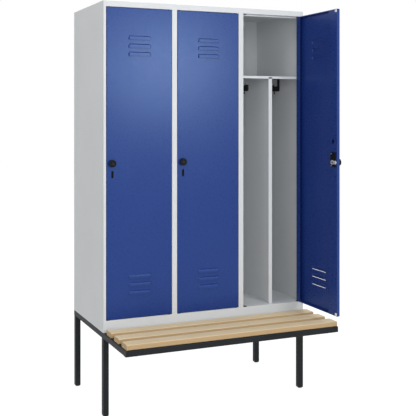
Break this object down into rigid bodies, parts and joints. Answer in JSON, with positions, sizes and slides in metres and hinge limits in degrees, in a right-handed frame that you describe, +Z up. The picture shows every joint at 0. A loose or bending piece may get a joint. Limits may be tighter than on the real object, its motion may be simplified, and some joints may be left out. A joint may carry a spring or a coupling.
{
  "type": "clothes locker with bench",
  "caption": "Steel clothes locker with hinged doors, hat shelves and swivel hooks, on a square-tube frame that reaches forward to carry a slatted wooden bench.",
  "frame": {"origin": "on the floor, under the middle of the whole object's box with the right-hand door standing open", "axes": "+X to the right as the doors are seen, +Y to the locker's back, +Z up"},
  "size_m": [1.201, 0.8532, 2.13],
  "materials": {
    "body_paint": "light grey powder coat, satin, on folded sheet steel",
    "door_paint": "gentian blue powder coat, satin, on folded sheet steel",
    "stiffener_paint": "the doors' blue powder coat on the inner channel",
    "frame_paint": "anthracite powder coat, fine texture, on square tube",
    "slat_wood": "beech, planed, with clear lacquer",
    "hook_plastic": "black moulded plastic",
    "glide_plastic": "black moulded plastic, slightly scuffed",
    "knob_plastic": "black moulded plastic, semi-gloss",
    "lock_case_plastic": "black moulded plastic",
    "buffer_plastic": "soft white plastic",
    "cam_steel": "bright zinc plate on pressed steel",
    "pin_steel": "steel pin in a black bush"
  },
  "bodies": {
    "root": {"side_frame_left": "frame_paint", "side_frame_right": "frame_paint", "rail_middle": "frame_paint", "rail_rear": "frame_paint", "rail_bench": "frame_paint", "glide_front_left": "glide_plastic", "glide_rear_left": "glide_plastic", "glide_front_right": "glide_plastic", "glide_rear_right": "glide_plastic", "slat_1": "slat_wood", "slat_2": "slat_wood", "slat_3": "slat_wood", "front_frame": "body_paint", "floor_panel": "body_paint", "side_panel_left": "body_paint", "side_panel_right": "body_paint", "divider_1": "body_paint", "divider_2": "body_paint", "back_panel": "body_paint", "roof_panel": "body_paint", "hat_shelf_1": "body_paint", "partition_1": "body_paint", "hat_shelf_2": "body_paint", "partition_2": "body_paint", "hat_shelf_3": "body_paint", "partition_3": "body_paint", "hinge_pin_1_top": "pin_steel", "hinge_pin_1_bottom": "pin_steel", "hinge_pin_2_top": "pin_steel", "hinge_pin_2_bottom": "pin_steel", "hinge_pin_3_top": "pin_steel", "hinge_pin_3_bottom": "pin_steel"},
    "door_1": {"door_1": "door_paint", "stiffener_1": "stiffener_paint", "lock_case_1": "lock_case_plastic", "buffer_1_top": "buffer_plastic", "buffer_1_bottom": "buffer_plastic"},
    "lock_1": {"knob_1": "knob_plastic", "cam_1": "cam_steel"},
    "door_2": {"door_2": "door_paint", "stiffener_2": "stiffener_paint", "lock_case_2": "lock_case_plastic", "buffer_2_top": "buffer_plastic", "buffer_2_bottom": "buffer_plastic"},
    "lock_2": {"knob_2": "knob_plastic", "cam_2": "cam_steel"},
    "door_3": {"door_3": "door_paint", "stiffener_3": "stiffener_paint", "lock_case_3": "lock_case_plastic", "buffer_3_top": "buffer_plastic", "buffer_3_bottom": "buffer_plastic"},
    "lock_3": {"knob_3": "knob_plastic", "cam_3": "cam_steel"},
    "hook_1_left": {"hook_1_left": "hook_plastic"},
    "hook_1_right": {"hook_1_right": "hook_plastic"},
    "hook_2_left": {"hook_2_left": "hook_plastic"},
    "hook_2_right": {"hook_2_right": "hook_plastic"},
    "hook_3_left": {"hook_3_left": "hook_plastic"},
    "hook_3_right": {"hook_3_right": "hook_plastic"}
  },
  "joints": [
    {"name": "door_1_hinge", "type": "hinge", "parent": "root", "child": "door_1", "pos_m": [-0.2245, -0.06685, 1.296], "axis": [0, 0, 1], "range_deg": [0, 105]},
    {"name": "lock_1_turn", "type": "hinge", "parent": "door_1", "child": "lock_1", "pos_m": [-0.555, -0.06685, 1.296], "axis": [0, -1, 0], "range_deg": [0, 35]},
    {"name": "door_2_hinge", "type": "hinge", "parent": "root", "child": "door_2", "pos_m": [0.1755, -0.06685, 1.296], "axis": [0, 0, 1], "range_deg": [0, 105]},
    {"name": "lock_2_turn", "type": "hinge", "parent": "door_2", "child": "lock_2", "pos_m": [-0.155, -0.06685, 1.296], "axis": [0, -1, 0], "range_deg": [0, 35]},
    {"name": "door_3_hinge", "type": "hinge", "parent": "root", "child": "door_3", "pos_m": [0.5755, -0.06685, 1.296], "axis": [0, 0, 1], "range_deg": [-90, 15]},
    {"name": "lock_3_turn", "type": "hinge", "parent": "door_3", "child": "lock_3", "pos_m": [0.5755, -0.39735, 1.296], "axis": [1, 0, 0], "range_deg": [0, 35]},
    {"name": "hook_1_left_swivel", "type": "hinge", "parent": "root", "child": "hook_1_left", "pos_m": [-0.49995, 0.06665, 1.762], "axis": [0, 0, 1], "continuous": true},
    {"name": "hook_1_right_swivel", "type": "hinge", "parent": "root", "child": "hook_1_right", "pos_m": [-0.30085, 0.06665, 1.762], "axis": [0, 0, 1], "continuous": true},
    {"name": "hook_2_left_swivel", "type": "hinge", "parent": "root", "child": "hook_2_left", "pos_m": [-0.10015, 0.06665, 1.762], "axis": [0, 0, 1], "continuous": true},
    {"name": "hook_2_right_swivel", "type": "hinge", "parent": "root", "child": "hook_2_right", "pos_m": [0.09915, 0.06665, 1.762], "axis": [0, 0, 1], "continuous": true},
    {"name": "hook_3_left_swivel", "type": "hinge", "parent": "root", "child": "hook_3_left", "pos_m": [0.29985, 0.06665, 1.762], "axis": [0, 0, 1], "continuous": true},
    {"name": "hook_3_right_swivel", "type": "hinge", "parent": "root", "child": "hook_3_right", "pos_m": [0.49895, 0.06665, 1.762], "axis": [0, 0, 1], "continuous": true}
  ]
}
